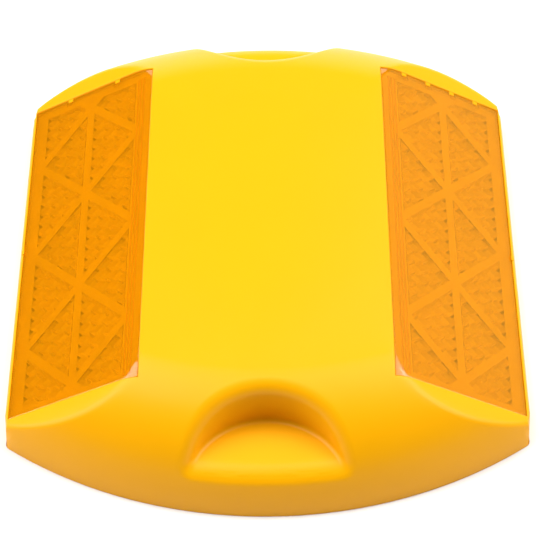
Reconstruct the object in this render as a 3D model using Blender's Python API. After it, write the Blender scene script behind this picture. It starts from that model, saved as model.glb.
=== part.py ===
"""Raised pavement marker: a low moulded road marker that shows an amber lens to each direction of traffic.

X runs along the road, so the two lenses face +X and -X. Y runs across the lane, and the two curved ends with
their finger grips face +Y and -Y. Z is up, and the origin is the middle of the bonding face. The marker looks
the same after half a turn about Z. Sizes are in millimetres until a mesh is made.
"""

import math

import bmesh
import bpy

MM = 0.001

# Driving dimensions of the moulded form.
WIDTH = 88.0
LENGTH = 102.0
HEIGHT = 18.0
TOP_WIDTH = 41.8
FACE_ANGLE = math.radians(29.5)
SIDE_DRAFT = math.radians(1.5)
END_RADIUS = 76.4
CORNER_RADIUS = 1.2

# Finger grips: a half-round pocket in the middle of each end.
GRIP_RADIUS = 13.1
GRIP_FLOOR = 8.7

# Lens pockets, measured square to the sloping face. Their walls are upright, as the mould draws them.
WINDOW_LENGTH = 70.0
OUTER_RIM = 0.65
POCKET_DEPTH = 4.6
POCKET_LOWEST = 1.5

# Lenses and trays, as depths below the sloping face.
LENS_FRONT = 0.3
LENS_BACK = 1.6
PRISM_BACK = 3.5
TRAY_FRONT = 1.9
TRAY_FLOOR = 3.7
TRAY_BACK = 4.3

# Triangular cells: ribs cross at 45 degrees, and their crossings lie CELL_PITCH apart. A corner left
# smaller than LEAST_CELL square millimetres gets no prisms.
CELL_PITCH = 21.0
RIB_THICKNESS = 0.9
END_BORDER = 1.2
LEAST_CELL = 4.8

# Locating nibs on the pocket ends, four at one end and two at the other, and the lens gate.
NIB_WIDTH = 1.0
NIB_REACH = 0.6
NIB_TOP = 0.3
NIB_PITCH = 5.2
GATE_OFFSET = -1.0
GATE_WIDTH = 1.0
GATE_REACH = 0.3

# Walls and clearances.
SHELL_WALL = 3.0
GRIP_WALL = 2.5
POCKET_WALL = 2.0
GAP = 0.3
OVERLAP = 0.5
CLEAR = 4.0

# Fineness of the faceted curves.
END_SEGMENTS = 24
CORNER_SEGMENTS = 3
NOSE_SEGMENTS = 10
GRIP_SEGMENTS = 72

END_CENTRE = END_RADIUS - LENGTH / 2
FACE_WIDTH = (WIDTH / 2 - OUTER_RIM - TOP_WIDTH / 2) / math.cos(FACE_ANGLE)
FACE_MIDDLE = FACE_WIDTH / 2


def clear_scene():
    for thing in list(bpy.data.objects):
        bpy.data.objects.remove(thing)


def material(name, colour, roughness, alpha=1.0):
    """A plain Principled material for one moulded piece."""
    made = bpy.data.materials.new(name)
    made.use_nodes = True
    shader = made.node_tree.nodes["Principled BSDF"]
    shader.inputs["Base Color"].default_value = (*colour, 1.0)
    shader.inputs["Roughness"].default_value = roughness
    shader.inputs["Metallic"].default_value = 0.0
    shader.inputs["Alpha"].default_value = alpha
    return made


def finish(name, shape, surface=None):
    """Turn a bmesh in millimetres into a named object in metres."""
    bmesh.ops.recalc_face_normals(shape, faces=shape.faces)
    bmesh.ops.scale(shape, vec=(MM, MM, MM), verts=shape.verts)
    mesh = bpy.data.meshes.new(name)
    shape.to_mesh(mesh)
    shape.free()
    made = bpy.data.objects.new(name, mesh)
    bpy.context.collection.objects.link(made)
    if surface is not None:
        mesh.materials.append(surface)
        mesh.shade_smooth()
        mesh.set_sharp_from_angle(angle=math.radians(30))
    else:
        made.hide_render = True
        made.display_type = "WIRE"
    return made


def combine(target, tool, operation):
    """Add a Boolean modifier that cuts the target with the tool, or joins the tool to it."""
    modifier = target.modifiers.new(operation.lower(), "BOOLEAN")
    modifier.operation = operation
    modifier.solver = "EXACT"
    modifier.object = tool


# --- The marker's outer form, and the same form set in by a wall -----------------------------------------

def half_width(z, inset, face_inset):
    """Half the width along X at height z, for walls set in from the sides and from the sloping faces."""
    side = WIDTH / 2 - inset - max(z, 0.0) * math.tan(SIDE_DRAFT)
    face = TOP_WIDTH / 2 + (HEIGHT - z) / math.tan(FACE_ANGLE) - face_inset / math.sin(FACE_ANGLE)
    return min(side, face)


def side_top(inset, face_inset):
    """The height at which the drafted side wall meets the sloping face."""
    run = WIDTH / 2 - inset - TOP_WIDTH / 2 + face_inset / math.sin(FACE_ANGLE)
    slope = 1.0 / math.tan(FACE_ANGLE)
    return (HEIGHT * slope - run) / (slope - math.tan(SIDE_DRAFT))


def outline(z, inset, face_inset):
    """One horizontal slice: two end arcs that shrink as the bull nose rises, joined by straight sides."""
    nose = HEIGHT - inset
    radius = END_RADIUS - HEIGHT + math.sqrt(max(nose**2 - max(z, 0.0) ** 2, 0.0))
    corner_x = half_width(z, inset, face_inset) - CORNER_RADIUS
    corner_y = END_CENTRE - math.sqrt((radius - CORNER_RADIUS) ** 2 - corner_x**2)
    turn = math.asin(corner_x / (radius - CORNER_RADIUS))
    half = []
    for step in range(CORNER_SEGMENTS):
        angle = -math.pi / 2 + (math.pi / 2 - turn) * step / CORNER_SEGMENTS
        half.append((-corner_x + CORNER_RADIUS * math.sin(angle), corner_y - CORNER_RADIUS * math.cos(angle)))
    for step in range(END_SEGMENTS + 1):
        angle = turn * (2 * step / END_SEGMENTS - 1)
        half.append((radius * math.sin(angle), END_CENTRE - radius * math.cos(angle)))
    for step in range(1, CORNER_SEGMENTS + 1):
        angle = turn + (math.pi / 2 - turn) * step / CORNER_SEGMENTS
        half.append((corner_x + CORNER_RADIUS * math.sin(angle), corner_y - CORNER_RADIUS * math.cos(angle)))
    return [(x, y, z) for x, y in half] + [(-x, -y, z) for x, y in half]


def marker_form(name, inset=0.0, face_inset=0.0, bottom=0.0, surface=None):
    """The marker's whole form as stacked slices, with every wall set in by the given amounts."""
    nose = HEIGHT - inset
    heights = [nose * math.sin(math.pi / 2 * step / NOSE_SEGMENTS) for step in range(NOSE_SEGMENTS + 1)]
    edge = side_top(inset, face_inset)
    if 0.0 < edge < nose:
        heights.append(edge)
    if bottom < 0.0:
        heights.append(bottom)
    shape = bmesh.new()
    rings = []
    for z in sorted(heights):
        rings.append([shape.verts.new(point) for point in outline(z, inset, face_inset)])
    for lower, upper in zip(rings, rings[1:]):
        for index in range(len(lower)):
            following = (index + 1) % len(lower)
            shape.faces.new((lower[index], lower[following], upper[following], upper[index]))
    shape.faces.new(reversed(rings[0]))
    shape.faces.new(rings[-1])
    return finish(name, shape, surface)


def grip_cutter(name, end, radius, floor):
    """An upright cylinder centred on the base edge of one end, from the given floor to above the top."""
    top = HEIGHT + CLEAR
    shape = bmesh.new()
    bmesh.ops.create_cone(
        shape, cap_ends=True, segments=GRIP_SEGMENTS, radius1=radius, radius2=radius, depth=top - floor)
    bmesh.ops.translate(shape, vec=(0.0, end * LENGTH / 2, (top + floor) / 2), verts=shape.verts)
    return finish(name, shape)


# --- Solids laid out on a sloping face --------------------------------------------------------------------

def on_face(side, down, across, depth):
    """A point down the slope from its top edge, across it, and straight below where its surface is depth away."""
    x = TOP_WIDTH / 2 + down * math.cos(FACE_ANGLE)
    z = HEIGHT - down * math.sin(FACE_ANGLE) - depth / math.cos(FACE_ANGLE)
    return (side * x, side * across, z)


def add_prism(shape, side, polygon, front, back):
    """Extrude a polygon on the sloping face between two depths."""
    upper = [shape.verts.new(on_face(side, down, across, front)) for down, across in polygon]
    lower = [shape.verts.new(on_face(side, down, across, back)) for down, across in polygon]
    shape.faces.new(upper)
    shape.faces.new(reversed(lower))
    for index in range(len(polygon)):
        following = (index + 1) % len(polygon)
        shape.faces.new((upper[following], upper[index], lower[index], lower[following]))


def tray_block(name, side, margin, front, back, lowest, surface=None):
    """A block that fills the lens opening between two depths, with its underside level where it would go too low."""
    shape = bmesh.new()
    left, right = margin, FACE_WIDTH - margin
    level = (HEIGHT - lowest - back / math.cos(FACE_ANGLE)) / math.sin(FACE_ANGLE)
    sink = (right - level) * math.sin(FACE_ANGLE) * math.cos(FACE_ANGLE)
    section = [(left, front), (right, front), (right, back - sink), (level, back), (left, back)]
    reach = WINDOW_LENGTH / 2 - margin
    ends = []
    for across in (-reach, reach):
        ends.append([shape.verts.new(on_face(side, down, across, depth)) for down, depth in section])
    shape.faces.new(ends[0])
    shape.faces.new(reversed(ends[1]))
    for index in range(len(section)):
        following = (index + 1) % len(section)
        shape.faces.new((ends[0][following], ends[0][index], ends[1][index], ends[1][following]))
    return finish(name, shape, surface)


def rectangle(down_from, down_to, across_from, across_to):
    return [(down_from, across_from), (down_to, across_from), (down_to, across_to), (down_from, across_to)]


def face_block(name, side, polygons, front, back, surface=None):
    shape = bmesh.new()
    for polygon in polygons:
        add_prism(shape, side, polygon, front, back)
    return finish(name, shape, surface)


def window(margin):
    """The lens opening on the sloping face, set in by a margin all round."""
    reach = WINDOW_LENGTH / 2 - margin
    return rectangle(margin, FACE_WIDTH - margin, -reach, reach)


def nibs(margin):
    """The locating nibs: four on one end of the opening and two on the other, grown by a margin."""
    end = WINDOW_LENGTH / 2
    half = NIB_WIDTH / 2 + margin
    tip = end - NIB_REACH - margin
    places = [(FACE_MIDDLE + NIB_PITCH * step, 1) for step in (-1.5, -0.5, 0.5, 1.5)]
    places += [(FACE_MIDDLE + NIB_PITCH * step, -1) for step in (-1, 1)]
    return [
        rectangle(down - half, down + half, *sorted((where * tip, where * (end + OVERLAP))))
        for down, where in places]


def gate(margin):
    """The lens gate, which stands in a notch in the middle of the outer rim."""
    half = GATE_WIDTH / 2 + margin
    return rectangle(
        FACE_WIDTH - 2 * OVERLAP, FACE_WIDTH + GATE_REACH + margin, GATE_OFFSET - half, GATE_OFFSET + half)


# --- Triangular cells behind the lens ---------------------------------------------------------------------

def clip(polygon, normal, limit):
    """Keep the part of a convex polygon where the dot product with the normal is at least the limit."""
    kept = []
    for start, end in zip(polygon, polygon[1:] + polygon[:1]):
        a = start[0] * normal[0] + start[1] * normal[1] - limit
        b = end[0] * normal[0] + end[1] * normal[1] - limit
        if a >= 0.0:
            kept.append(start)
        if (a > 0.0 > b) or (a < 0.0 < b):
            part = a / (a - b)
            kept.append((start[0] + (end[0] - start[0]) * part, start[1] + (end[1] - start[1]) * part))
    return kept


def cell_polygons(margin):
    """The right-angled triangles between the centre rib, the 45 degree ribs and the border."""
    reach = WINDOW_LENGTH / 2 - END_BORDER - margin
    half_cell = CELL_PITCH / 2
    slant = math.sqrt(0.5)
    cells = []
    for half in (-1, 1):
        for step in range(-3, 4):
            middle = step * half_cell
            strip = rectangle(margin, half_cell - margin, -reach, reach)
            if step % 2 == 0:
                rising = clip(strip, (-slant, slant), slant * (middle - half_cell) + margin)
                cell = clip(rising, (-slant, -slant), -slant * (middle + half_cell) + margin)
            else:
                rising = clip(strip, (slant, slant), slant * middle + margin)
                cell = clip(rising, (slant, -slant), -slant * middle + margin)
            if area(cell) > LEAST_CELL:
                cells.append([(FACE_MIDDLE + half * down, across) for down, across in cell])
    return cells


def area(polygon):
    total = 0.0
    for start, end in zip(polygon, polygon[1:] + polygon[:1]):
        total += start[0] * end[1] - end[0] * start[1]
    return abs(total) / 2


# --- The pieces -------------------------------------------------------------------------------------------

def inner_space(name, clearance, bottom, surface=None):
    """The space inside the shell, or with a clearance the core that fills it, clear of the finger grips."""
    space = marker_form(
        name, SHELL_WALL + clearance, POCKET_DEPTH + POCKET_WALL + clearance, bottom, surface)
    for end, label in ((-1, "near"), (1, "far")):
        boss = grip_cutter(
            f"{name}_boss_{label}", end, GRIP_RADIUS + GRIP_WALL + clearance, GRIP_FLOOR - GRIP_WALL - clearance)
        combine(space, boss, "DIFFERENCE")
    return space


def make_shell(surface):
    shell = marker_form("shell", surface=surface)
    combine(shell, inner_space("shell_cavity", 0.0, -CLEAR), "DIFFERENCE")
    for end, label in ((-1, "near"), (1, "far")):
        combine(shell, grip_cutter(f"grip_{label}", end, GRIP_RADIUS, GRIP_FLOOR), "DIFFERENCE")
    for side, label in ((1, "right"), (-1, "left")):
        pocket = tray_block(f"pocket_{label}", side, 0.0, -CLEAR, POCKET_DEPTH, POCKET_LOWEST)
        combine(shell, pocket, "DIFFERENCE")
        notch = face_block(f"gate_notch_{label}", side, [gate(GAP)], -CLEAR, LENS_BACK)
        combine(shell, notch, "DIFFERENCE")
        combine(shell, face_block(f"nibs_{label}", side, nibs(0.0), NIB_TOP, LENS_BACK), "UNION")
    return shell


def make_lens(side, label, surface):
    """A clear plate with a raised field of prisms over each cell, notched round the nibs.

    Its front lies just below the sloping face, and its top corners follow the bull nose.
    """
    lens = face_block(f"lens_{label}", side, [window(GAP)], -CLEAR, LENS_BACK, surface)
    combine(lens, marker_form(f"lens_front_{label}", LENS_FRONT, LENS_FRONT, -CLEAR), "INTERSECT")
    fields = cell_polygons(RIB_THICKNESS / 2 + GAP)
    combine(lens, face_block(f"prisms_{label}", side, fields, LENS_BACK - OVERLAP, PRISM_BACK), "UNION")
    tab = face_block(f"gate_{label}", side, [gate(0.0)], LENS_FRONT + NIB_TOP, LENS_BACK - NIB_TOP)
    combine(lens, tab, "UNION")
    notches = face_block(f"nib_notches_{label}", side, nibs(GAP), -CLEAR, LENS_BACK + CLEAR)
    combine(lens, notches, "DIFFERENCE")
    return lens


def make_tray(side, label, surface):
    """A shallow backing tray whose ribs stand in the channels between the prism fields."""
    tray = tray_block(
        f"cell_tray_{label}", side, GAP, TRAY_FRONT, TRAY_BACK, POCKET_LOWEST + GAP, surface)
    cells = face_block(f"cells_{label}", side, cell_polygons(RIB_THICKNESS / 2), 0.0, TRAY_FLOOR)
    combine(tray, cells, "DIFFERENCE")
    return tray


def main():
    clear_scene()
    make_shell(material("yellow_abs", (0.95, 0.62, 0.01), 0.35))
    inner_space("potting_core", GAP, 0.0, material("filled_resin", (0.42, 0.38, 0.30), 0.85))
    amber = material("amber_acrylic", (1.0, 0.33, 0.01), 0.12, 0.6)
    backing = material("tray_abs", (0.95, 0.66, 0.10), 0.45)
    for side, label in ((1, "right"), (-1, "left")):
        make_lens(side, label, amber)
        make_tray(side, label, backing)


main()
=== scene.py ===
"""Raised pavement marker: the finished look of a moulded road marker with two amber prismatic lenses.

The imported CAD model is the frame. Every piece is made at its real place in metres: X runs along the road,
Y across the lane through the two finger grips, and Z is up from the bonding face.
"""

import math

import bmesh
import bpy
import numpy as np
from bpy.props import FloatProperty, FloatVectorProperty, IntProperty, PointerProperty
from mathutils import Matrix, Vector
from mathutils.geometry import delaunay_2d_cdt


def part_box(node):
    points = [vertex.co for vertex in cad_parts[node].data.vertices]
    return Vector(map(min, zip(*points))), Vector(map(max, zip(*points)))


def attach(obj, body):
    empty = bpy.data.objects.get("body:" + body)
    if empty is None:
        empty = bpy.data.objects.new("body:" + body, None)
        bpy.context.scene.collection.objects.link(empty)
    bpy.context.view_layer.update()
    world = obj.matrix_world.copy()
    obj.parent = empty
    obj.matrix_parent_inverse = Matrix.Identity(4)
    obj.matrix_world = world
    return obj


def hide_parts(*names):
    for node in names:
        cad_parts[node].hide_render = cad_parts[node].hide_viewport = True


bl_info = {
    "name": "Raised Pavement Marker",
    "version": (1, 0, 0),
    "blender": (4, 5, 0),
    "location": "View3D > Sidebar > Marker",
    "description": "Builds a moulded road marker with prismatic lenses round its packed frame",
    "category": "Add Mesh",
}

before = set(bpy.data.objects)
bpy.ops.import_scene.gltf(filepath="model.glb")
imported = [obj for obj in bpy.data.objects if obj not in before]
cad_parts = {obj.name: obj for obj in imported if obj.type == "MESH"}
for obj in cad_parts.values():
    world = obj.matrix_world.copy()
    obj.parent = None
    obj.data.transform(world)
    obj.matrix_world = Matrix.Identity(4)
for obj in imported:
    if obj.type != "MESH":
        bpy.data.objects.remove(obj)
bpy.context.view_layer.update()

MM = 0.001
EDGE_SHIFT = -0.002 * MM  # keeps a plan point that lies on a pocket's outline just outside the pocket
HALVINGS = 36

GRIP_DRAFT = math.radians(2.0)
GRIP_FILLET = 0.7 * MM
WINDOW_FILLET = 0.2 * MM
LENS_FILLET = 0.15 * MM
POCKET_FLOOR = 2.0 * MM  # what is left of the shell under a lens pocket
CORNER_BLEND = 3.0 * MM  # the height over which the road corners' rounding gives way to the edges' rounding

WINDOW_RINGS = (0.06, 0.13, 0.22)
LENS_RINGS = (0.03, 0.07, 0.11, 0.16)
CREASE_SHIFTS = (-0.6, -0.4, -0.2, 0.0, 0.2, 0.4, 0.6)
LENS_CREASE_SHIFTS = (-0.5, -0.25, 0.0, 0.25, 0.5, 0.75, 1.0)
RIM_DROPS = (0.16, 0.2, 0.25, 0.32, 0.42)
GRIP_STEPS = ((-1.2, 0.0, 0.15), (0.0, 0.36, 0.05), (0.4, 2.6, 0.18))

PRISM_COLUMNS, PRISM_ROWS = 13, 34
PRISM_BLOCK = 8 * MM
PRISM_WELD = 0.002 * MM
PAD_TOP, PAD_BOTTOM = 1.4 * MM, 5.0 * MM
RIDGE_PLACES = (1.3, 1.9, 2.5)
RIDGE_HALF, RIDGE_TOP, RIDGE_APEX, RIDGE_REACH = 0.35, 1.4, 2.0, 33.6
RIB_STEPS = {1: (-1.5, -0.5, 0.5, 1.5), -1: (-1, 1)}  # in rib pitches, on the right face and the left
RIB_ROOT, RIB_FOOT = 0.4 * MM, 0.5 * MM
RIB_CLEARANCE = 0.04 * MM
STUB_ROOT, STUB_REACH, STUB_RISE = 0.1 * MM, 0.4 * MM, 0.12 * MM
RIM_INWARD, RIM_OUTWARD = 0.997, 1.003

CORE_GAP = 0.3 * MM
CORE_SPACING = 0.6 * MM
CORE_MARGIN = 0.8 * MM
SMOOTH_SHELL, SMOOTH_LENS = 40.0, 20.0

ABS_INDEX, ACRYLIC_INDEX, RESIN_INDEX, PAINT_INDEX = 1.53, 1.49, 1.55, 1.5
ABS_GLOSS = 0.16
SHELL_ROUGHNESS, TRAY_ROUGHNESS = 0.36, 0.45
# The prisms' low clearness lets their pale tint scatter: a painted reflection in place of the light the cube
# corners send back
FACE_CLEARNESS, PRISM_CLEARNESS = 0.72, 0.06

WHITE, WARM = (1.0, 1.0, 1.0), (1.0, 0.86, 0.3)
LIGHTS = (  # name, azimuth, elevation, watts, tint
    ("left_box", 282.0, 65.0, 13.6, WHITE),
    ("low_left_box", 275.0, 30.0, 11.4, WHITE),
    ("right_box", 88.0, 42.0, 11.8, WHITE),
    ("far_box", 58.0, 62.0, 9.6, WHITE),
    ("low_far_box", 47.3, 18.8, 2.6, WARM),
    ("back_box", 0.0, 8.0, 5.0, WHITE))
LIGHT_DISTANCE, LIGHT_SIZE = 1.3, 0.9
AMBIENT = 0.02

CAMERA_ELEVATION, CAMERA_AZIMUTH, CAMERA_ROLL = (math.radians(angle) for angle in (50.87, 0.47, -0.706))
CAMERA_LENS, CAMERA_SENSOR = 136.67, 36.0
CAMERA_TARGET = Vector((0.46 * MM, 0.0, 1.24 * MM))
CAMERA_DISTANCE = 366.7 * MM
FLOOR_DROP, FLOOR_RADIUS = 0.05 * MM, 3.0

SHELL_LOW, SHELL_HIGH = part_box("shell")
SIDES = ((1, "right"), (-1, "left"))
ENDS = (-1, 1)


def hex_colour(text):
    """An sRGB hex colour as linear RGB."""
    parts = [int(text[place:place + 2], 16) / 255 for place in (1, 3, 5)]
    return tuple(part / 12.92 if part <= 0.04045 else ((part + 0.055) / 1.055) ** 2.4 for part in parts)


# --- What a user would change ---

def length(name, description, default):
    """A length that the user can change."""
    return FloatProperty(name=name, description=description, default=default, unit="LENGTH", precision=5)


def colour(name, description, default):
    """A colour that the user can change."""
    return FloatVectorProperty(
        name=name, description=description, default=hex_colour(default), subtype="COLOR", min=0.0, max=1.0)


class MarkerForm(bpy.types.PropertyGroup):
    """The moulded form of the shell."""

    width: length("Width", "Along the road", SHELL_HIGH.x - SHELL_LOW.x)
    span: length("Length", "Across the lane", SHELL_HIGH.y - SHELL_LOW.y)
    height: length("Height", "Above the road", SHELL_HIGH.z)
    top_width: length("Top width", "Width of the flat top", 41.8 * MM)
    face_angle: FloatProperty(
        name="Face angle", description="Slope of the lens faces", default=math.radians(29.5), subtype="ANGLE")
    side_draft: FloatProperty(
        name="Side draft", description="Mould draft of the low side walls", default=math.radians(1.5),
        subtype="ANGLE")
    end_radius: length("End radius", "Plan radius of the curved ends at the road", 76.4 * MM)
    corner_radius: length("Corner radius", "Rounding of the four upright corners", 1.2 * MM)
    edge_radius: length("Edge radius", "Rounding of the moulded edges", 0.5 * MM)
    wall: length("Wall", "Thickness of the shell", 3.0 * MM)
    grip_radius: length("Grip radius", "Plan radius of the finger grips", 13.1 * MM)
    grip_floor: length("Grip floor", "Height of the finger grips' floors", 8.7 * MM)
    grip_rim: length("Grip rim", "Rounding where a finger grip meets the outer form", 2.0 * MM)
    grip_wall: length("Grip wall", "Thickness of the shell round a finger grip", 2.5 * MM)
    window_span: length("Window length", "Length of a lens pocket across the lane", 70.0 * MM)
    window_outer: length("Window outer edge", "Distance of a pocket's outer edge from the middle", 43.25 * MM)
    pocket_depth: length("Pocket depth", "Depth of a lens pocket, square to its face", 4.6 * MM)
    pocket_lowest: length("Pocket lowest", "Height of the lowest part of a pocket's floor", 1.5 * MM)


class MarkerPrisms(bpy.types.PropertyGroup):
    """The lenses, and the cells of prisms behind them."""

    lens_front: length("Lens front", "Depth of a lens below its face", 0.2 * MM)
    lens_back: length("Lens back", "Depth of the plate's back below its face", 1.6 * MM)
    lens_gap: length("Lens gap", "Visible gap round a lens", 0.03 * MM)
    prism_side: length("Prism side", "Edge of a cube corner's square facets", 1.67 * MM)
    prism_tip: length("Prism tips", "Depth of the prisms' tips below the face", 3.5 * MM)
    prism_tilt: FloatProperty(
        name="Prism tilt", description="Tilt of the prisms towards a low beam", default=math.radians(38.1),
        subtype="ANGLE")
    cell_pitch: length("Cell pitch", "Distance between the crossings of the diagonal ribs", 21.0 * MM)
    rib_space: length("Rib space", "Half of the flat strip over a rib", 0.75 * MM)
    end_border: length("End border", "Plain border at the ends of a lens", 1.2 * MM)
    least_cell: FloatProperty(
        name="Least cell", description="Area of the smallest cell that gets prisms", default=4.8 * MM**2,
        precision=8)
    nib_width: length("Nib width", "Width of the ribs that centre a lens in its pocket", 1.0 * MM)
    nib_pitch: length("Nib pitch", "Distance between those ribs", 5.2 * MM)
    nib_reach: length("Nib reach", "How far they stand out from the wall", 0.7 * MM)
    nib_top: length("Nib top", "Depth of their tops below the face", 0.12 * MM)
    gate_offset: length("Gate offset", "Distance of a lens gate's stub from the middle", 1.0 * MM)
    gate_width: length("Gate width", "Width of that stub", 1.0 * MM)


class MarkerColours(bpy.types.PropertyGroup):
    """The finishes of the pieces."""

    shell: colour("Shell", "Yellow moulded ABS", "#ECA400")
    lens: colour("Lens", "Amber dye of the lenses' faces", "#FFA808")
    # Painted reflection: the prisms are the lenses' own amber acrylic, and this pale tint stands in for the
    # light their cube corners send back
    prisms: colour("Prisms", "Scattering finish of the prisms", "#FFEA38")
    tray: colour("Tray", "Pale yellow moulded ABS behind the lens", "#FFC030")
    core: colour("Core", "Dark grains of the sand-filled resin", "#8E8473")
    sand: colour("Sand", "Pale grains of the sand-filled resin", "#C6BBA5")
    floor: colour("Floor", "Studio floor", "#EDEDED")


def form():
    """The moulded form's settings."""
    return bpy.context.scene.marker_form


def cells():
    """The lenses' settings."""
    return bpy.context.scene.marker_prisms


def finishes():
    """The finishes' settings."""
    return bpy.context.scene.marker_colours


# --- The shell's surface as a signed distance ---

def round_max(a, b, radius):
    """The larger of two distances, with the outside corner between their surfaces rounded."""
    u = np.maximum(a + radius, 0.0)
    v = np.maximum(b + radius, 0.0)
    return np.where((u > 0) & (v > 0), np.hypot(u, v) - radius, np.maximum(a, b))


def outer_distance(x, y, z, inset=0.0, face_inset=0.0):
    """Distance from the marker's outer form, or from that form set in by a wall: negative inside."""
    f = form()
    tilt = f.face_angle
    face = (np.abs(x) - f.top_width / 2) * math.sin(tilt) + (z - f.height) * math.cos(tilt) + face_inset
    side = (np.abs(x) - f.width / 2 + inset + z * math.tan(f.side_draft)) * math.cos(f.side_draft)
    flank = round_max(face, side, f.edge_radius)
    ends = None
    for end in ENDS:
        from_axis = np.hypot(x, y + end * (f.end_radius - f.span / 2))
        nose = np.hypot(np.maximum(from_axis - (f.end_radius - f.height), 0.0), z) - f.height + inset
        ends = nose if ends is None else np.maximum(ends, nose)
    share = np.clip((z - CORNER_BLEND) / CORNER_BLEND, 0.0, 1.0)
    radius = f.corner_radius + (f.edge_radius - f.corner_radius) * share
    return round_max(flank, ends, radius)


def grip_distance(x, y, z, inset=0.0):
    """Distance from the space of the nearer finger grip, grown by a wall: positive inside it."""
    f = form()
    across = np.hypot(x, np.abs(y) - f.span / 2)
    rise = np.maximum(z - f.grip_floor, 0.0)
    wall = (f.grip_radius + inset + rise * math.tan(GRIP_DRAFT) - across) * math.cos(GRIP_DRAFT)
    floor = z - f.grip_floor + inset
    return -round_max(-wall, -floor, GRIP_FILLET)


def window_distance(x, y, z):
    """Distance from the upright walls of the lens pockets: positive inside a pocket."""
    f = form()
    low, high = f.top_width / 2, f.window_outer
    from_sides = np.abs(np.abs(x) - (low + high) / 2) - (high - low) / 2
    from_ends = np.abs(y) - f.window_span / 2
    outside = np.hypot(np.maximum(from_sides, 0.0), np.maximum(from_ends, 0.0))
    return EDGE_SHIFT - outside - np.minimum(np.maximum(from_sides, from_ends), 0.0)


def shell_distance(x, y, z):
    """The visible skin: the outer form, with rounded finger grips and broken edges round the pockets."""
    f = form()
    skin = round_max(outer_distance(x, y, z), grip_distance(x, y, z), f.grip_rim)
    return round_max(skin, window_distance(x, y, z), WINDOW_FILLET)


def cavity_distance(x, y, z, clearance=0.0):
    """The hollow under the shell: the outer form set in by a wall, clear of the grips and the pockets."""
    f = form()
    hollow = outer_distance(x, y, z, f.wall + clearance, f.pocket_depth + POCKET_FLOOR + clearance)
    return np.maximum(hollow, grip_distance(x, y, z, f.grip_wall + clearance))


def height_of(distance, x, y):
    """The height where a surface crosses each upright line, found by halving."""
    low = np.zeros_like(x)
    high = np.full_like(x, form().height)
    for _ in range(HALVINGS):
        middle = (low + high) / 2
        solid = distance(x, y, middle) < 0.0
        low = np.where(solid, middle, low)
        high = np.where(solid, high, middle)
    return (low + high) / 2


# --- The plan that the surface is meshed on ---

class Plan:
    """Lines drawn on the marker's plan, which the mesh's edges then follow."""

    def __init__(self):
        self.points = []
        self.edges = []
        self.faces = []

    def line(self, points, closed=False, area=False):
        start = len(self.points)
        self.points.extend(Vector(point) for point in points)
        places = list(range(start, len(self.points)))
        self.edges.extend(zip(places, places[1:]))
        if closed:
            self.edges.append((places[-1], places[0]))
        if area:
            self.faces.append(places)

    def triangles(self):
        """Points and triangles inside the first area and outside every other."""
        points, _, faces, _, _, inside = delaunay_2d_cdt(
            self.points, self.edges, self.faces, 0, 1e-7)
        kept = [face for face, areas in zip(faces, inside) if 0 in areas and len(set(areas)) == 1]
        used = sorted({place for face in kept for place in face})
        order = {place: index for index, place in enumerate(used)}
        flat = np.array([points[place][:] for place in used])
        return flat, [[order[place] for place in face] for face in kept]


def half_width(z, inset=0.0, face_inset=0.0):
    """Half of the form's width at a height."""
    f = form()
    side = f.width / 2 - inset - z * math.tan(f.side_draft)
    face = f.top_width / 2 + (f.height - z) / math.tan(f.face_angle) - face_inset / math.sin(f.face_angle)
    return min(side, face)


def outline(z, inset, face_inset, radius, segments):
    """A slice of the form: two end arcs and straight sides, with rounded corners."""
    f = form()
    centre = f.end_radius - f.span / 2
    nose = f.end_radius - f.height + math.sqrt(max((f.height - inset) ** 2 - z**2, 0.0))
    corner_x = half_width(z, inset, face_inset) - radius
    corner_y = centre - math.sqrt((nose - radius) ** 2 - corner_x**2)
    turn = math.asin(corner_x / (nose - radius))
    half = []
    for angle in np.linspace(-math.pi / 2, -turn, 7)[:-1]:
        half.append((-corner_x + radius * math.sin(angle), corner_y - radius * math.cos(angle)))
    for angle in np.linspace(-turn, turn, segments + 1):
        half.append((nose * math.sin(angle), centre - nose * math.cos(angle)))
    for angle in np.linspace(turn, math.pi / 2, 7)[1:]:
        half.append((corner_x + radius * math.sin(angle), corner_y - radius * math.cos(angle)))
    return half + [(-x, -y) for x, y in half]


def window_outline(side, grow):
    """The rectangle of a lens pocket on the plan, grown or shrunk."""
    f = form()
    low, high = f.top_width / 2 - grow, f.window_outer + grow
    reach = f.window_span / 2 + grow
    down = np.linspace(low, high, 25)
    across = np.linspace(-reach, reach, 49)
    loop = [(x, -reach) for x in down[:-1]] + [(high, y) for y in across[:-1]]
    loop += [(x, reach) for x in down[:0:-1]] + [(low, y) for y in across[:0:-1]]
    return [(side * x, side * y) for x, y in loop]


def crease_line(shift):
    """The line where a lens face runs into an end, moved sideways, for one corner of the marker."""
    f = form()
    centre = f.end_radius - f.span / 2
    line = []
    for z in np.linspace(f.height, f.height - (f.width - f.top_width) / 2 * math.tan(f.face_angle), 40):
        x = f.top_width / 2 + (f.height - z) / math.tan(f.face_angle)
        nose = f.end_radius - f.height + math.sqrt(max(f.height**2 - z**2, 0.0))
        line.append((x - 0.2 * shift, math.sqrt(nose**2 - x**2) - centre - shift))
    return [(x, y) for x, y in line if x < f.width / 2 - 0.5 * MM]


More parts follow.
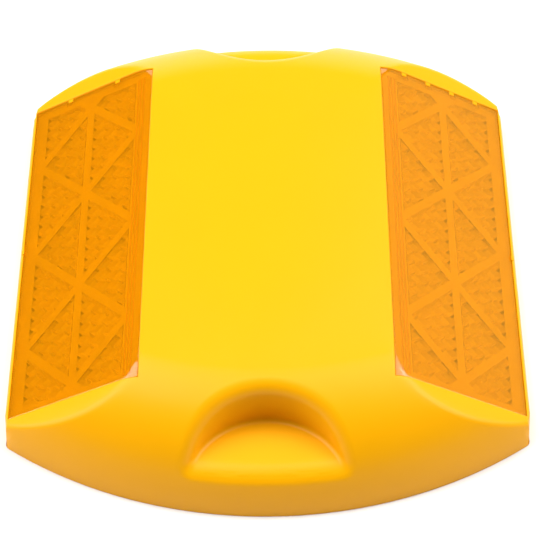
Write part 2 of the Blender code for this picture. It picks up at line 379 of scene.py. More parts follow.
def shell_plan():
    """Lines under everything that bends in the shell's skin: its slices, creases, pocket edges and grips."""
    f = form()
    plan = Plan()
    plan.line(outline(0.0, 0.0, 0.0, f.corner_radius, 64), closed=True, area=True)
    for side, _ in SIDES:
        plan.line(window_outline(side, 0.0), closed=True, area=True)
        for grow in WINDOW_RINGS:
            plan.line(window_outline(side, grow * MM), closed=True)
    for angle in np.radians(np.arange(3.0, 90.0, 3.0)):
        plan.line(outline(f.height * math.sin(angle), 0.0, 0.0, 0.3 * MM, 64), closed=True)
    for x_sign in ENDS:
        for y_sign in ENDS:
            for shift in CREASE_SHIFTS:
                plan.line([(x_sign * x, y_sign * y) for x, y in crease_line(shift * MM)])
        reach = f.window_span / 2 + 1.5 * MM
        for drop in RIM_DROPS:
            x = x_sign * (f.width / 2 - drop * MM)
            plan.line([(x, y) for y in np.linspace(-reach, reach, 30)])
    steps = np.concatenate([np.arange(*span) for span in GRIP_STEPS])
    turns = np.radians(np.linspace(-88, 88, 90))
    for end in ENDS:
        for step in steps:
            radius = f.grip_radius + step * MM
            arc = [(radius * math.sin(turn), end * (f.span / 2 - radius * math.cos(turn))) for turn in turns]
            plan.line([point for point in arc if rises(point)])
        for level in np.arange(6.6, 11.0, 0.4):
            nose = f.end_radius - f.height + math.sqrt(f.height**2 - (level * MM) ** 2)
            spread = np.linspace(-0.17, 0.17, 24)
            centre = f.end_radius - f.span / 2
            plan.line([(nose * math.sin(a), end * (nose * math.cos(a) - centre)) for a in spread])
    return plan


def rises(point):
    """Whether the outer form stands clearly above the road at a point of the plan."""
    x, y = (np.array([value]) for value in point)
    return outer_distance(x, y, np.array([3.0 * MM]))[0] < 0.0


def cavity_plan(clearance=0.0):
    """Lines under the hollow, or under a body that fills it with a clearance."""
    f = form()
    plan = Plan()
    inset, face_inset = f.wall + clearance, f.pocket_depth + POCKET_FLOOR + clearance
    plan.line(outline(0.0, inset, face_inset, f.corner_radius, 40), closed=True, area=True)
    for angle in np.radians(np.arange(8.0, 90.0, 9.0)):
        z = (f.height - inset) * math.sin(angle)
        plan.line(outline(z, inset, face_inset, 0.3 * MM, 40), closed=True)
    for end in ENDS:
        for step in (-0.1, 0.1):
            radius = f.grip_radius + f.grip_wall + clearance + step * MM
            arc = [(radius * math.sin(t), end * (f.span / 2 - radius * math.cos(t))) for t in
                   np.radians(np.linspace(-75, 75, 40))]
            plan.line([point for point in arc if abs(point[1]) < f.span / 2 - 7 * MM])
    return plan


# --- The lenses ---

def face_width():
    """The width of a lens pocket, measured down its sloping face."""
    f = form()
    return (f.window_outer - f.top_width / 2) / math.cos(f.face_angle)


def face_point(down, across, depth):
    """A point of the right lens pocket, straight below a point of the sloping face."""
    f = form()
    x = f.top_width / 2 + down * math.cos(f.face_angle)
    z = f.height - down * math.sin(f.face_angle) - depth / math.cos(f.face_angle)
    return Vector((x, across, z))


def rectangle(low, high, near, far):
    """A rectangle on the sloping face, between two distances down it and two across."""
    return [(low, near), (high, near), (high, far), (low, far)]


def clip(polygon, normal, limit):
    """Keep the part of a convex polygon where the dot product with the normal is at least the limit."""
    kept = []
    for start, end in zip(polygon, polygon[1:] + polygon[:1]):
        a = start[0] * normal[0] + start[1] * normal[1] - limit
        b = end[0] * normal[0] + end[1] * normal[1] - limit
        if a >= 0.0:
            kept.append(start)
        if (a > 0.0 > b) or (a < 0.0 < b):
            part = a / (a - b)
            kept.append((start[0] + (end[0] - start[0]) * part, start[1] + (end[1] - start[1]) * part))
    return kept


def cell_polygons(margin):
    """The right-angled triangles between the centre rib, the 45 degree ribs and the border."""
    f, c = form(), cells()
    middle_of_face = face_width() / 2
    reach = f.window_span / 2 - c.end_border - margin
    half_cell = c.cell_pitch / 2
    deep = half_cell - margin
    slant = math.sqrt(0.5)
    found = []
    for half in (-1, 1):
        for step in range(-3, 4):
            middle = step * half_cell
            strip = rectangle(margin, deep, -reach, reach)
            if step % 2 == 0:
                rising = clip(strip, (-slant, slant), slant * (middle - half_cell) + margin)
                cell = clip(rising, (-slant, -slant), -slant * (middle + half_cell) + margin)
            else:
                rising = clip(strip, (slant, slant), slant * middle + margin)
                cell = clip(rising, (slant, -slant), -slant * middle + margin)
            if area(cell) > c.least_cell:
                found.append([(middle_of_face + half * down, across) for down, across in cell])
    return found


def area(polygon):
    """The area of a flat polygon."""
    total = 0.0
    for start, end in zip(polygon, polygon[1:] + polygon[:1]):
        total += start[0] * end[1] - end[0] * start[1]
    return abs(total) / 2


def add_prism(shape, lower, upper):
    """A closed prism between two loops of points."""
    low = [shape.verts.new(point) for point in lower]
    high = [shape.verts.new(point) for point in upper]
    count = len(low)
    shape.faces.new(low[::-1])
    shape.faces.new(high)
    for place in range(count):
        after = (place + 1) % count
        shape.faces.new((low[place], low[after], high[after], high[place]))


def face_blocks(polygons, top, bottom):
    """Upright prisms under polygons on the right face, between two depths."""
    shape = bmesh.new()
    for polygon in polygons:
        add_prism(shape, [face_point(*p, bottom) for p in polygon], [face_point(*p, top) for p in polygon])
    return face_outwards(shape)


def pin_axes():
    """Directions of the tilted pins: across a pin down the slope, along the lane, and inwards."""
    tilt = form().face_angle + cells().prism_tilt
    down = Vector((math.cos(tilt), 0.0, -math.sin(tilt)))
    inward = Vector((-math.sin(tilt), 0.0, -math.cos(tilt)))
    return down, Vector((0.0, 1.0, 0.0)), inward


def prism_unit():
    """One hexagonal pin's tip: the three square facets of a cube corner, and its walls to two neighbours."""
    c = cells()
    down, across, inward = pin_axes()
    radius = c.prism_side * math.sqrt(2 / 3)
    level = c.prism_side / math.sqrt(3)
    step = radius * 1.5 * math.tan(c.prism_tilt)
    shape = bmesh.new()
    places = {}

    def rim(corner, rise=0.0):
        """A rim corner; every other one lies a level nearer the front."""
        key = (corner % 6, rise)
        if key not in places:
            angle = math.radians(60 * corner)
            deep = -level * (2 - corner % 2) - rise
            places[key] = shape.verts.new(
                down * radius * math.cos(angle) + across * radius * math.sin(angle) + inward * deep)
        return places[key]

    tip = shape.verts.new((0.0, 0.0, 0.0))
    for corner in (1, 3, 5):
        shape.faces.new((tip, rim(corner), rim(corner + 1), rim(corner + 2)))
    for corner in (5, 0):
        shape.faces.new((rim(corner + 1), rim(corner), rim(corner, step), rim(corner + 1, step)))
    return shape


def prism_tree(material):
    """Geometry nodes that repeat one prism on a staggered grid over a lens."""
    tree = bpy.data.node_groups.new("prism_array", "GeometryNodeTree")
    for name, kind in (
            ("Geometry", "NodeSocketGeometry"), ("Pitch Down", "NodeSocketFloat"),
            ("Pitch Across", "NodeSocketFloat"), ("Columns", "NodeSocketInt"), ("Rows", "NodeSocketInt"),
            ("Slope", "NodeSocketVector"), ("Start", "NodeSocketVector"), ("Material", "NodeSocketMaterial")):
        tree.interface.new_socket(name, in_out="INPUT", socket_type=kind)
    tree.interface.new_socket("Geometry", in_out="OUTPUT", socket_type="NodeSocketGeometry")
    given = node(tree, "NodeGroupInput").outputs
    reach_down = node(tree, "ShaderNodeMath", operation="MULTIPLY", links={
        0: node(tree, "ShaderNodeMath", operation="SUBTRACT", links={0: given["Columns"], 1: 1.0}),
        1: given["Pitch Down"]})
    reach_across = node(tree, "ShaderNodeMath", operation="MULTIPLY", links={
        0: node(tree, "ShaderNodeMath", operation="SUBTRACT", links={0: given["Rows"], 1: 1.0}),
        1: given["Pitch Across"]})
    grid = node(tree, "GeometryNodeMeshGrid", links={
        "Size X": reach_down, "Size Y": reach_across, "Vertices X": given["Columns"],
        "Vertices Y": given["Rows"]})
    column = node(tree, "ShaderNodeMath", operation="FLOOR", links={
        0: node(tree, "ShaderNodeMath", operation="DIVIDE", links={
            0: node(tree, "GeometryNodeInputIndex"), 1: given["Rows"]})})
    odd = node(tree, "ShaderNodeMath", operation="MODULO", links={0: column, 1: 2.0})
    half = node(tree, "ShaderNodeMath", operation="MULTIPLY", links={0: odd, 1: 0.5})
    shift = node(tree, "ShaderNodeMath", operation="MULTIPLY", links={0: half, 1: given["Pitch Across"]})
    staggered = node(tree, "GeometryNodeSetPosition", links={
        "Geometry": grid.outputs["Mesh"],
        "Offset": node(tree, "ShaderNodeCombineXYZ", links={"Y": shift})})
    sloped = node(tree, "GeometryNodeTransform", links={
        "Geometry": staggered, "Translation": given["Start"], "Rotation": given["Slope"]})
    repeated = node(tree, "GeometryNodeInstanceOnPoints", links={
        "Points": sloped, "Instance": given["Geometry"]})
    joined = node(tree, "GeometryNodeMergeByDistance", links={
        "Geometry": node(tree, "GeometryNodeRealizeInstances", links={"Geometry": repeated}),
        "Distance": PRISM_WELD})
    finished = node(tree, "GeometryNodeSetMaterial", links={
        "Geometry": joined, "Material": given["Material"]})
    node(tree, "NodeGroupOutput", links={"Geometry": finished})
    return tree


def node(tree, kind, links=None, **settings):
    """Add a node with its settings, and link or set its inputs."""
    made = tree.nodes.new(kind)
    for name, value in settings.items():
        setattr(made, name, value)
    wire(tree, made, links or {})
    return made


def wire(tree, made, links):
    """Link a node's inputs to other nodes, or set them."""
    for socket, value in links.items():
        if isinstance(value, bpy.types.Node):
            value = next(output for output in value.outputs if output.enabled)
        if isinstance(value, bpy.types.NodeSocket):
            tree.links.new(value, made.inputs[socket])
        else:
            made.inputs[socket].default_value = value


def grown(shape, tree, values):
    """The plain mesh that a geometry node tree makes of a shape."""
    mesh = bpy.data.meshes.new(tree.name)
    shape.to_mesh(mesh)
    shape.free()
    seed = bpy.data.objects.new(tree.name, mesh)
    bpy.context.scene.collection.objects.link(seed)
    modifier = seed.modifiers.new(tree.name, "NODES")
    modifier.node_group = tree
    for item in tree.interface.items_tree:
        if item.in_out == "INPUT" and item.name in values:
            modifier[item.identifier] = values[item.name]
    result = bpy.data.meshes.new_from_object(seed.evaluated_get(bpy.context.evaluated_depsgraph_get()))
    bpy.data.objects.remove(seed)
    return result


def face_outwards(shape):
    """Turn the faces of a closed shape outwards."""
    bmesh.ops.recalc_face_normals(shape, faces=shape.faces)
    if shape.calc_volume(signed=True) < 0.0:
        bmesh.ops.reverse_faces(shape, faces=shape.faces)
    return shape


def shape_of(mesh):
    """A mesh as an editable shape; the mesh itself is removed."""
    shape = bmesh.new()
    shape.from_mesh(mesh)
    bpy.data.meshes.remove(mesh)
    return shape


def combine(base, tool, operation):
    """Cut or join two closed shapes, and give the result as a shape."""
    pair = []
    for shape in (base, tool):
        mesh = bpy.data.meshes.new("part")
        shape.to_mesh(mesh)
        shape.free()
        pair.append(bpy.data.objects.new("part", mesh))
        bpy.context.scene.collection.objects.link(pair[-1])
    modifier = pair[0].modifiers.new("join", "BOOLEAN")
    modifier.object = pair[1]
    modifier.operation = operation
    modifier.solver = "EXACT"
    result = bpy.data.meshes.new_from_object(pair[0].evaluated_get(bpy.context.evaluated_depsgraph_get()))
    for thing in pair:
        bpy.data.objects.remove(thing)
    return shape_of(result)


def prism_field(material):
    """A closed block whose back is covered with prisms, wider than the lens."""
    f, c = form(), cells()
    across = c.prism_side * math.sqrt(2)
    down = across * math.sqrt(3) / 2 / math.cos(c.prism_tilt)
    slope = Vector((math.cos(f.face_angle), 0.0, -math.sin(f.face_angle)))
    inward = Vector((-math.sin(f.face_angle), 0.0, -math.cos(f.face_angle)))
    corner = Vector((f.top_width / 2, -across / 4, f.height))
    start = corner + slope * face_width() / 2 + inward * c.prism_tip
    shape = shape_of(grown(prism_unit(), prism_tree(material), {
        "Pitch Down": down, "Pitch Across": across, "Columns": PRISM_COLUMNS, "Rows": PRISM_ROWS,
        "Slope": (0.0, f.face_angle, 0.0), "Start": start, "Material": material}))
    edges = [edge for edge in shape.edges if edge.is_boundary]
    made = bmesh.ops.extrude_edge_only(shape, edges=edges)["geom"]
    front = pin_axes()[2] * -PRISM_BLOCK
    for item in made:
        if isinstance(item, bmesh.types.BMVert):
            item.co += front
    bmesh.ops.holes_fill(shape, edges=[edge for edge in shape.edges if edge.is_boundary], sides=0)
    return face_outwards(shape)


def lens_distance(x, y, z):
    """The front of a lens plate: the outer form set in, with slightly rounded edges."""
    f, c = form(), cells()
    low, high = f.top_width / 2 + c.lens_gap, f.window_outer - c.lens_gap
    from_sides = np.abs(np.abs(x) - (low + high) / 2) - (high - low) / 2
    from_ends = np.abs(y) - f.window_span / 2 + c.lens_gap
    skin = outer_distance(x, y, z, c.lens_front, c.lens_front)
    return round_max(skin, np.maximum(from_sides, from_ends) + EDGE_SHIFT, LENS_FILLET)


def lens_plate():
    """A lens's plate: its front follows the marker's form, and its back is flat."""
    f, c = form(), cells()
    plan = Plan()
    plan.line(window_outline(1, -c.lens_gap), closed=True, area=True)
    for grow in LENS_RINGS:
        plan.line(window_outline(1, -c.lens_gap - grow * MM), closed=True)
    low, high = f.top_width / 2 + 0.3 * MM, f.window_outer - 0.3 * MM
    for end in ENDS:
        for shift in LENS_CREASE_SHIFTS:
            line = [(x, end * y) for x, y in crease_line(shift * MM)]
            plan.line([(x, y) for x, y in line if low < x < high and abs(y) < f.window_span / 2 - 0.3 * MM])
    shape = bmesh.new()
    add_surface(shape, plan, lens_distance)
    edges = [edge for edge in shape.edges if edge.is_boundary]
    made = bmesh.ops.extrude_edge_only(shape, edges=edges)["geom"]
    for vert in made:
        if isinstance(vert, bmesh.types.BMVert):
            down = (vert.co.x - f.top_width / 2) / math.cos(f.face_angle)
            vert.co.z = face_point(down, 0.0, c.lens_back).z
    bmesh.ops.holes_fill(shape, edges=[edge for edge in shape.edges if edge.is_boundary], sides=0)
    return face_outwards(shape)


def make_lens(material):
    """The right lens: its plate, the prisms in the cells, and three fine ridges along the upper border."""
    pads = face_blocks(cell_polygons(cells().rib_space), PAD_TOP, PAD_BOTTOM)
    lens = combine(lens_plate(), combine(prism_field(material), pads, "INTERSECT"), "UNION")
    ridges = bmesh.new()
    for down in RIDGE_PLACES:
        section = ((down - RIDGE_HALF, RIDGE_TOP), (down + RIDGE_HALF, RIDGE_TOP), (down, RIDGE_APEX))
        ends = [
            [face_point(u * MM, across * MM, depth * MM) for u, depth in section]
            for across in (-RIDGE_REACH, RIDGE_REACH)]
        add_prism(ridges, *ends)
    return combine(lens, face_outwards(ridges), "UNION")


# --- Building pieces ---

def add_surface(shape, plan, distance):
    """Mesh a height surface over a plan."""
    flat, faces = plan.triangles()
    heights = height_of(distance, flat[:, 0], flat[:, 1])
    verts = [shape.verts.new((x, y, z)) for (x, y), z in zip(flat, heights)]
    for face in faces:
        shape.faces.new([verts[place] for place in face])


def piece(name, shape, material, smooth=SMOOTH_SHELL):
    """A finished object at the origin, smooth but for its real edges."""
    if shape.calc_volume(signed=True) < 0.0:
        bmesh.ops.reverse_faces(shape, faces=shape.faces)
    mesh = bpy.data.meshes.new(name)
    shape.to_mesh(mesh)
    shape.free()
    made = bpy.data.objects.new(name, mesh)
    bpy.context.scene.collection.objects.link(made)
    mesh.materials.append(material)
    mesh.shade_smooth()
    mesh.set_sharp_from_angle(angle=math.radians(smooth))
    return made


def boundary_loops(shape):
    """The open edges of a mesh, as one list of edges for each loop."""
    open_edges = dict.fromkeys(edge for edge in shape.edges if edge.is_boundary)
    loops = []
    while open_edges:
        edge, _ = open_edges.popitem()
        loop, queue = [edge], [edge]
        while queue:
            for vert in queue.pop().verts:
                for other in vert.link_edges:
                    if other in open_edges:
                        del open_edges[other]
                        loop.append(other)
                        queue.append(other)
        loops.append(loop)
    return loops


def make_shell(material):
    """The shell: its skin, pockets, hollow and flat rim as one closed mesh, with its ribs and stubs."""
    f = form()
    shape = bmesh.new()
    add_surface(shape, shell_plan(), shell_distance)
    for loop in boundary_loops(shape):
        verts = {vert for edge in loop for vert in edge.verts}
        if min(vert.co.y for vert in verts) < -f.window_span / 2 - 5 * MM:
            outer = stepped_rim(shape, loop, RIM_INWARD)
        else:
            close_pocket(shape, loop)
    standing = set(outer)
    add_surface(shape, cavity_plan(), cavity_distance)
    loop = next(loop for loop in boundary_loops(shape) if not standing & set(loop[0].verts))
    fill_base(shape, outer, stepped_rim(shape, loop, RIM_OUTWARD))
    face_outwards(shape)
    for side, _ in SIDES:
        join(shape, centring_ribs(side))
    join(shape, gate_stubs())
    return piece("shell_body", shape, material)


def stepped_rim(shape, loop, scale):
    """Set an open rim on the road, and carry it a little way across the base."""
    for edge in loop:
        for vert in edge.verts:
            vert.co.z = 0.0
    made = bmesh.ops.extrude_edge_only(shape, edges=loop)["geom"]
    ring = [item for item in made if isinstance(item, bmesh.types.BMVert)]
    for vert in ring:
        vert.co.xy *= scale
    return ring


def fill_base(shape, outer, others):
    """The flat underside inside an outer ring: up to an inner ring, or over loose points."""
    verts = outer + others
    order = {vert: place for place, vert in enumerate(verts)}
    edges = [
        tuple(order[vert] for vert in edge.verts)
        for edge in shape.edges if edge.is_boundary and all(vert in order for vert in edge.verts)]
    _, _, faces, origins, _, _ = delaunay_2d_cdt([vert.co.xy for vert in verts], edges, [], 1, 1e-8)
    hollow = bool(others[0].link_edges)
    for face in faces:
        places = [origins[place][0] for place in face]
        if not (hollow and min(places) >= len(outer)):
            shape.faces.new([verts[place] for place in places])


def both_sides(polygons, top, bottom):
    """Upright prisms under polygons on the right face, and the same turned to the left face."""
    shape = face_blocks(polygons, top, bottom)
    made = bmesh.ops.duplicate(shape, geom=list(shape.verts) + list(shape.edges) + list(shape.faces))["geom"]
    turn_over(shape, [item for item in made if isinstance(item, bmesh.types.BMVert)])
    return shape


def centring_ribs(side, grow=0.0):
    """Short upright ribs on the far end wall of a pocket, which hold its lens in place."""
    f, c = form(), cells()
    half, near = c.nib_width / 2 + grow, f.window_span / 2 - c.nib_reach - grow
    ribs = []
    for step in RIB_STEPS[side]:
        down = face_width() / 2 + c.nib_pitch * step
        wall = side * (f.window_span / 2 + RIB_ROOT)
        ribs.append(rectangle(down - half, down + half, *sorted((side * near, wall))))
    shape = face_blocks(ribs, c.nib_top - 3 * grow, f.pocket_depth - RIB_FOOT + grow)
    if side < 0:
        turn_over(shape, shape.verts)
    return shape


def turn_over(shape, verts):
    """Turn something made at the right lens half round, to the left one."""
    bmesh.ops.rotate(shape, verts=verts, cent=(0, 0, 0), matrix=Matrix.Rotation(math.pi, 3, "Z"))


def gate_stubs():
    """The little stubs on the outer rims where the lens gates are trimmed."""
    c = cells()
    half = c.gate_width / 2
    low, high = face_width() - STUB_ROOT, face_width() + STUB_REACH
    stub = rectangle(low, high, -c.gate_offset - half, -c.gate_offset + half)
    return both_sides([stub], -STUB_RISE, c.lens_back)


def join(shape, other):
    """Add another closed shape to a shape."""
    mesh = bpy.data.meshes.new("part")
    other.to_mesh(mesh)
    other.free()
    shape.from_mesh(mesh)
    bpy.data.meshes.remove(mesh)


def close_pocket(shape, loop):
    """Upright walls and a floor for a lens pocket, under its open edge."""
    f = form()
    made = bmesh.ops.extrude_edge_only(shape, edges=loop)["geom"]
    floor_verts = [item for item in made if isinstance(item, bmesh.types.BMVert)]
    floor_edges = [item for item in made if isinstance(item, bmesh.types.BMEdge) and item.is_boundary]
    for vert in floor_verts:
        face = f.height - (abs(vert.co.x) - f.top_width / 2) * math.tan(f.face_angle)
        vert.co.z = max(face - f.pocket_depth / math.cos(f.face_angle), f.pocket_lowest)
    bmesh.ops.triangle_fill(shape, edges=floor_edges, use_beauty=True)


def grit_tree(material):
    """Geometry nodes that roughen the underside of the filling with the sand it is mixed with."""
    tree = bpy.data.node_groups.new("sand_grit", "GeometryNodeTree")
    for name, kind in (
            ("Geometry", "NodeSocketGeometry"), ("Grains", "NodeSocketFloat"),
            ("Relief", "NodeSocketFloat"), ("Seed", "NodeSocketFloat"),
            ("Material", "NodeSocketMaterial")):
        tree.interface.new_socket(name, in_out="INPUT", socket_type=kind)
    tree.interface.new_socket("Geometry", in_out="OUTPUT", socket_type="NodeSocketGeometry")
    given = node(tree, "NodeGroupInput").outputs
    place = node(tree, "GeometryNodeInputPosition")
    grains = node(tree, "ShaderNodeTexVoronoi", voronoi_dimensions="4D", feature="SMOOTH_F1", links={
        "Vector": place, "W": given["Seed"], "Scale": given["Grains"], "Smoothness": 0.3})
    patches = node(tree, "ShaderNodeTexNoise", noise_dimensions="4D", links={
        "Vector": place, "W": given["Seed"], "Scale": 300.0, "Detail": 3.0})
    both = node(tree, "ShaderNodeMath", operation="MULTIPLY", links={
        0: grains.outputs["Distance"], 1: patches})
    rise = node(tree, "ShaderNodeMath", operation="MULTIPLY", links={0: both, 1: given["Relief"]})
    height = node(tree, "ShaderNodeSeparateXYZ", links={"Vector": place})
    low = node(tree, "FunctionNodeCompare", operation="LESS_THAN", links={
        0: height.outputs["Z"], 1: 0.01 * MM})
    rough = node(tree, "GeometryNodeSetPosition", links={
        "Geometry": given["Geometry"], "Selection": low,
        "Offset": node(tree, "ShaderNodeCombineXYZ", links={"Z": rise})})
    whole = node(tree, "GeometryNodeRealizeInstances", links={"Geometry": rough})
    finished = node(tree, "GeometryNodeSetMaterial", links={
        "Geometry": whole, "Material": given["Material"]})
    node(tree, "NodeGroupOutput", links={"Geometry": finished})
    return tree


def make_core(material):
    """The filling: it follows the hollow under the shell, and its underside is gritty."""
    f = form()
    shape = bmesh.new()
    add_surface(shape, cavity_plan(CORE_GAP), lambda x, y, z: cavity_distance(x, y, z, CORE_GAP))
    outer = stepped_rim(shape, boundary_loops(shape)[0], RIM_INWARD)
    inside = []
    for x in np.arange(-f.width / 2, f.width / 2, CORE_SPACING):
        for y in np.arange(-f.span / 2, f.span / 2, CORE_SPACING):
            place = (np.array([value]) for value in (x, y, 0.0))
            if cavity_distance(*place, CORE_GAP + CORE_MARGIN)[0] < 0.0:
                inside.append(shape.verts.new((x, y, 0.0)))
    fill_base(shape, outer, inside)
    face_outwards(shape)
    return shape_of(grown(shape, grit_tree(material), {
        "Grains": 900.0, "Relief": 0.9 * MM, "Seed": 3.0, "Material": material}))


def new_material(name, index):
    """A new material, its node tree and its shader, with the real index of refraction."""
    made = bpy.data.materials.new(name)
    made.use_nodes = True
    shader = made.node_tree.nodes["Principled BSDF"]
    shader.inputs["IOR"].default_value = index
    return made, made.node_tree, shader


def noise(tree, size, detail=2.0):
    """Noise on a piece's own coordinates, with marks of about a given size in metres."""
    place = node(tree, "ShaderNodeTexCoord").outputs["Object"]
    return node(tree, "ShaderNodeTexNoise", links={
        "Vector": place, "Scale": 1 / size, "Detail": detail})


def spread(tree, value, low, high):
    """Noise stretched over a range."""
    return node(tree, "ShaderNodeMapRange", links={
        "Value": value, "From Min": 0.3, "From Max": 0.7, "To Min": low, "To Max": high})


def between(tree, factor, first, second):
    """A colour part of the way from one to another."""
    return node(tree, "ShaderNodeMix", data_type="RGBA", links={
        0: factor, 6: (*first, 1.0), 7: (*second, 1.0)})


def deeper(base, share):
    """A colour darkened to a share of itself."""
    return tuple(part * share for part in base)


def moulded_abs(name, base, roughness):
    """Satin ABS: the mould's eroded skin spreads and weakens the sheen, and the colour drifts a little."""
    made, tree, shader = new_material(name, ABS_INDEX)
    skin = noise(tree, 0.35 * MM, 3.0)
    wire(tree, shader, {
        "Base Color": between(tree, noise(tree, 16 * MM), base, deeper(base, 0.96)),
        "Roughness": spread(tree, skin, roughness - 0.04, roughness + 0.04),
        "Specular IOR Level": ABS_GLOSS,
        "Normal": node(tree, "ShaderNodeBump", links={
            "Height": skin, "Strength": 0.15, "Distance": 0.02 * MM})})
    return made


def amber_acrylic(name, tint, clear):
    """Dyed acrylic from a polished mould: it glints, lets part of the light through and scatters the rest.
    With a pale tint and little clearness, as on the prisms, the scattering is a painted reflection of the
    light their cube corners send back.
    """
    made, tree, shader = new_material(name, ACRYLIC_INDEX)
    wire(tree, shader, {
        "Base Color": between(tree, noise(tree, 7 * MM), tint, deeper(tint, 0.95)),
        "Roughness": spread(tree, noise(tree, 2.5 * MM), 0.02, 0.06),
        "Transmission Weight": clear})
    return made


def sand_filled_resin():
    """Cast resin full of sand: every grain has its own brown or grey, and stands a little proud."""
    made, tree, shader = new_material("sand_filled_resin", RESIN_INDEX)
    place = node(tree, "ShaderNodeTexCoord").outputs["Object"]
    grains = node(tree, "ShaderNodeTexVoronoi", links={"Vector": place, "Scale": 1 / (0.9 * MM)})
    tone = node(tree, "ShaderNodeSeparateColor", links={"Color": grains.outputs["Color"]})
    wire(tree, shader, {
        "Base Color": between(tree, tone.outputs["Red"], finishes().core, finishes().sand),
        "Roughness": spread(tree, tone.outputs["Green"], 0.75, 0.95),
        "Normal": node(tree, "ShaderNodeBump", invert=True, links={
            "Height": grains.outputs["Distance"], "Strength": 0.5, "Distance": 0.1 * MM})})
    return made


def floor_paint():
    """Matt pale paint: almost even, with the faint clouds that a roller leaves."""
    made, tree, shader = new_material("floor_paint", PAINT_INDEX)
    clouds = noise(tree, 120 * MM)
    wire(tree, shader, {
        "Base Color": between(tree, clouds, finishes().floor, deeper(finishes().floor, 0.98)),
        "Roughness": spread(tree, clouds, 0.85, 0.95)})
    return made


def finish_lens(made, prisms):
    """Give the prisms and the plate's back and sides the pale scattering finish behind its clear face: a
    painted reflection in place of the light the cube corners send back.
    """
    f, c = form(), cells()
    made.data.materials.append(prisms)
    half_way = c.lens_front + 0.5 * (c.lens_back - c.lens_front)
    for face in made.data.polygons:
        x, _, z = face.center
        drop, out = f.height - z, abs(x) - f.top_width / 2
        below = drop * math.cos(f.face_angle) - out * math.sin(f.face_angle)
        face.material_index = int(below > half_way or face.normal.z < 0.1)


class MARKER_OT_shell(bpy.types.Operator):
    """Make the yellow shell with its finger grips and lens pockets"""

    bl_idname = "marker.shell"
    bl_label = "Shell"

    def execute(self, context):
        made = make_shell(moulded_abs("yellow_abs", finishes().shell, SHELL_ROUGHNESS))
        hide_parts("shell")
        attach(made, "root")
        return {"FINISHED"}


class MARKER_OT_lenses(bpy.types.Operator):
    """Make the two amber lenses"""

    bl_idname = "marker.lenses"
    bl_label = "Lenses"

    def execute(self, context):
        amber = amber_acrylic("amber_acrylic", finishes().lens, FACE_CLEARNESS)
        # painted reflection: a pale, mostly scattering copy of the amber acrylic stands in for the light the
        # prisms' cube corners send back
        prisms = amber_acrylic("acrylic_prisms_painted_reflection", finishes().prisms, PRISM_CLEARNESS)
        right = make_lens(amber)
        left = right.copy()
        turn_over(left, left.verts)
        for shape, (side, label) in zip((right, left), SIDES):
            shape = combine(shape, centring_ribs(side, RIB_CLEARANCE), "DIFFERENCE")
            made = piece(f"amber_lens_{label}", shape, amber, SMOOTH_LENS)
            finish_lens(made, prisms)
            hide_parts(f"lens_{label}")
            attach(made, "root")
        tray = moulded_abs("tray_abs", finishes().tray, TRAY_ROUGHNESS)
        for _, label in SIDES:
            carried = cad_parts[f"cell_tray_{label}"].data.materials
            carried.clear()
            carried.append(tray)
        return {"FINISHED"}


class MARKER_OT_filling(bpy.types.Operator):
    """Make the sand-filled resin that fills the shell"""

    bl_idname = "marker.filling"
    bl_label = "Filling"

    def execute(self, context):
        resin = sand_filled_resin()
        made = piece("resin_filling", make_core(resin), resin)
        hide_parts("potting_core")
        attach(made, "root")
        return {"FINISHED"}


class MARKER_OT_stage(bpy.types.Operator):
    """Make the studio floor, the lights and the camera"""

    bl_idname = "marker.stage"
    bl_label = "Studio"

    def execute(self, context):
        make_floor()
        make_lights()
        make_camera()
        return {"FINISHED"}


def make_floor():
    """A pale round floor, just under the marker."""
    shape = bmesh.new()
    low = Matrix.Translation((0.0, 0.0, -FLOOR_DROP))
    bmesh.ops.create_circle(shape, cap_ends=True, segments=96, radius=FLOOR_RADIUS, matrix=low)
    piece("studio_floor", shape, floor_paint())


def soft_box(name, azimuth, elevation, power, tint):
    """A square soft box turned to the marker; azimuth 0 is at its far side and 90 to its right."""
    turn, rise = math.radians(azimuth), math.radians(elevation)
    towards = Vector((math.sin(turn) * math.cos(rise), math.cos(turn) * math.cos(rise), math.sin(rise)))
    place = LIGHT_DISTANCE * towards
    data = bpy.data.lights.new(name, "AREA")
    data.shape = "SQUARE"
    data.size = LIGHT_SIZE
    data.energy = power
    data.color = tint
    lamp = bpy.data.objects.new(name, data)
    bpy.context.scene.collection.objects.link(lamp)
    lamp.matrix_world = Matrix.Translation(place) @ place.to_track_quat("Z", "Y").to_matrix().to_4x4()


def make_lights():
    """Soft boxes on the left and right, two behind on the right and a low one at the back."""
    world = bpy.data.worlds.new("studio")
    bpy.context.scene.world = world
    world.use_nodes = True
    background = world.node_tree.nodes["Background"]
    background.inputs["Color"].default_value = (*WHITE, 1.0)
    background.inputs["Strength"].default_value = AMBIENT
    for settings in LIGHTS:
        soft_box(*settings)


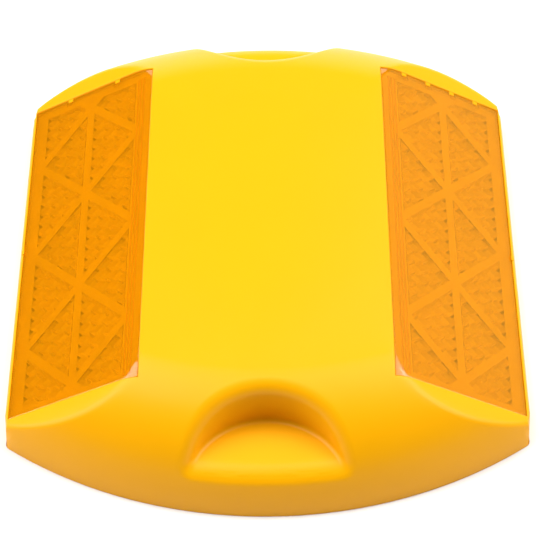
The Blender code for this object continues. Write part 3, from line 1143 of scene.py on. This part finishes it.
def make_camera():
    """A long lens looking down the Y axis from 51 degrees above the road."""
    level = math.cos(CAMERA_ELEVATION)
    back = Vector((
        math.sin(CAMERA_AZIMUTH) * level, -math.cos(CAMERA_AZIMUTH) * level, math.sin(CAMERA_ELEVATION)))
    data = bpy.data.cameras.new("camera")
    data.sensor_width = CAMERA_SENSOR
    data.lens = CAMERA_LENS
    data.clip_start, data.clip_end = 0.01, 20.0
    camera = bpy.data.objects.new("camera", data)
    bpy.context.scene.collection.objects.link(camera)
    turn = (-back).to_track_quat("-Z", "Y").to_matrix() @ Matrix.Rotation(CAMERA_ROLL, 3, "Z")
    camera.matrix_world = Matrix.Translation(CAMERA_TARGET + back * CAMERA_DISTANCE) @ turn.to_4x4()
    bpy.context.scene.camera = camera
    bpy.context.scene.view_settings.view_transform = "Standard"


class MARKER_PT_panel(bpy.types.Panel):
    """The steps that build the marker and its studio"""

    bl_label = "Pavement Marker"
    bl_idname = "MARKER_PT_panel"
    bl_space_type = "VIEW_3D"
    bl_region_type = "UI"
    bl_category = "Marker"

    def draw(self, context):
        for operator in (MARKER_OT_shell, MARKER_OT_lenses, MARKER_OT_filling, MARKER_OT_stage):
            self.layout.operator(operator.bl_idname)


CLASSES = (
    MarkerForm, MarkerPrisms, MarkerColours, MARKER_OT_shell, MARKER_OT_lenses, MARKER_OT_filling,
    MARKER_OT_stage, MARKER_PT_panel)


def register():
    """Add the settings, the operators and the panel to Blender."""
    for item in CLASSES:
        bpy.utils.register_class(item)
    bpy.types.Scene.marker_form = PointerProperty(type=MarkerForm)
    bpy.types.Scene.marker_prisms = PointerProperty(type=MarkerPrisms)
    bpy.types.Scene.marker_colours = PointerProperty(type=MarkerColours)


def unregister():
    """Take them out again."""
    del bpy.types.Scene.marker_colours
    del bpy.types.Scene.marker_prisms
    del bpy.types.Scene.marker_form
    for item in reversed(CLASSES):
        bpy.utils.unregister_class(item)


def main():
    """Build every piece and the studio."""
    register()
    bpy.ops.marker.shell()
    bpy.ops.marker.lenses()
    bpy.ops.marker.filling()
    bpy.ops.marker.stage()


if __name__ == "__main__":
    main()
